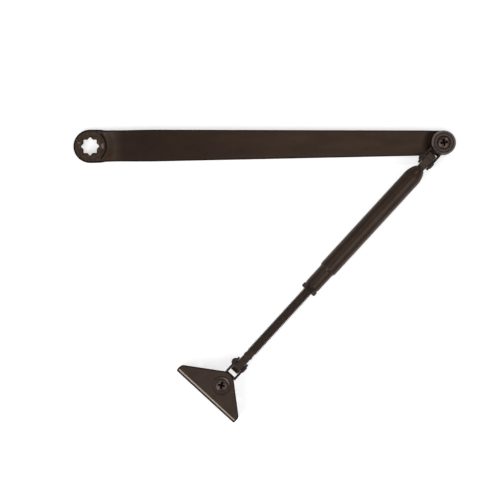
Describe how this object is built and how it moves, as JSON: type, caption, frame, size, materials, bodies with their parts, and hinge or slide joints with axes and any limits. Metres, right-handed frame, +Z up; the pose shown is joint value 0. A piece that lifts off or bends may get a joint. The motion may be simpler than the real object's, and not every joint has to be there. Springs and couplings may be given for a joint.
{
  "type": "door closer arm",
  "caption": "Door closer double-lever arm: a flat main arm with a star socket, a telescoping forearm on a capped elbow swivel, and a folded triangular foot bracket.",
  "frame": {"origin": "centre of the star socket, on the underside of the main arm's head, which seats on the closer", "axes": "+X along the main arm from the star socket to the elbow axis, +Z up from the closer body along the spindle, +Y completes the right-handed frame; the forearm and foot lie on the -Y side at rest"},
  "size_m": [0.3446, 0.2643, 0.0346],
  "materials": {
    "bronze_paint": "satin dark bronze paint over forged and drawn steel",
    "bronze_cap": "satin grey bronze paint, a little paler than the arm",
    "bronze_screw": "semi-gloss bronze plated steel",
    "bronze_rod": "dark bronze plated threaded steel",
    "plated_steel": "zinc plated steel, hidden bushes and washers"
  },
  "bodies": {
    "main_arm": {"main_arm": "bronze_paint", "elbow_post": "plated_steel", "elbow_lower_washer": "plated_steel", "elbow_upper_washer": "plated_steel", "elbow_cap": "bronze_cap", "elbow_screw": "bronze_screw"},
    "elbow_stirrup": {"elbow_stirrup": "bronze_paint", "elbow_rivet": "bronze_rod"},
    "forearm_tube": {"forearm_tongue": "bronze_paint", "forearm_tube": "bronze_paint", "threaded_insert": "plated_steel", "lock_washer": "plated_steel", "lock_nut": "bronze_rod"},
    "forearm_rod": {"forearm_rod": "bronze_rod"},
    "foot_stirrup": {"foot_stirrup": "bronze_paint", "foot_rivet": "bronze_rod"},
    "foot": {"foot_bracket": "bronze_paint", "foot_upper_washer": "plated_steel", "foot_lower_washer": "plated_steel", "foot_post": "plated_steel", "foot_screw": "bronze_screw"}
  },
  "joints": [
    {"name": "elbow_swivel", "type": "hinge", "parent": "main_arm", "child": "elbow_stirrup", "pos_m": [0.3185, 0, 0.008], "axis": [0, 0, 1], "range_deg": [-16.5, 282]},
    {"name": "elbow_tilt", "type": "hinge", "parent": "elbow_stirrup", "child": "forearm_tube", "pos_m": [0.30244, -0.01716, 0.019], "axis": [0.7302, -0.6833, 0], "range_deg": [-20, 20]},
    {"name": "rod_slide", "type": "slide", "parent": "forearm_tube", "child": "forearm_rod", "axis": [-0.6833, -0.7302, 0], "range_m": [-0.06, 0.035]},
    {"name": "foot_tilt", "type": "hinge", "parent": "forearm_rod", "child": "foot_stirrup", "pos_m": [0.13292, -0.19831, 0.019], "axis": [0.7302, -0.6833, 0], "range_deg": [-20, 20]},
    {"name": "foot_swivel", "type": "hinge", "parent": "foot_stirrup", "child": "foot", "pos_m": [0.11687, -0.21547, 0.03], "axis": [0, 0, 1], "range_deg": [-90, 90]}
  ]
}
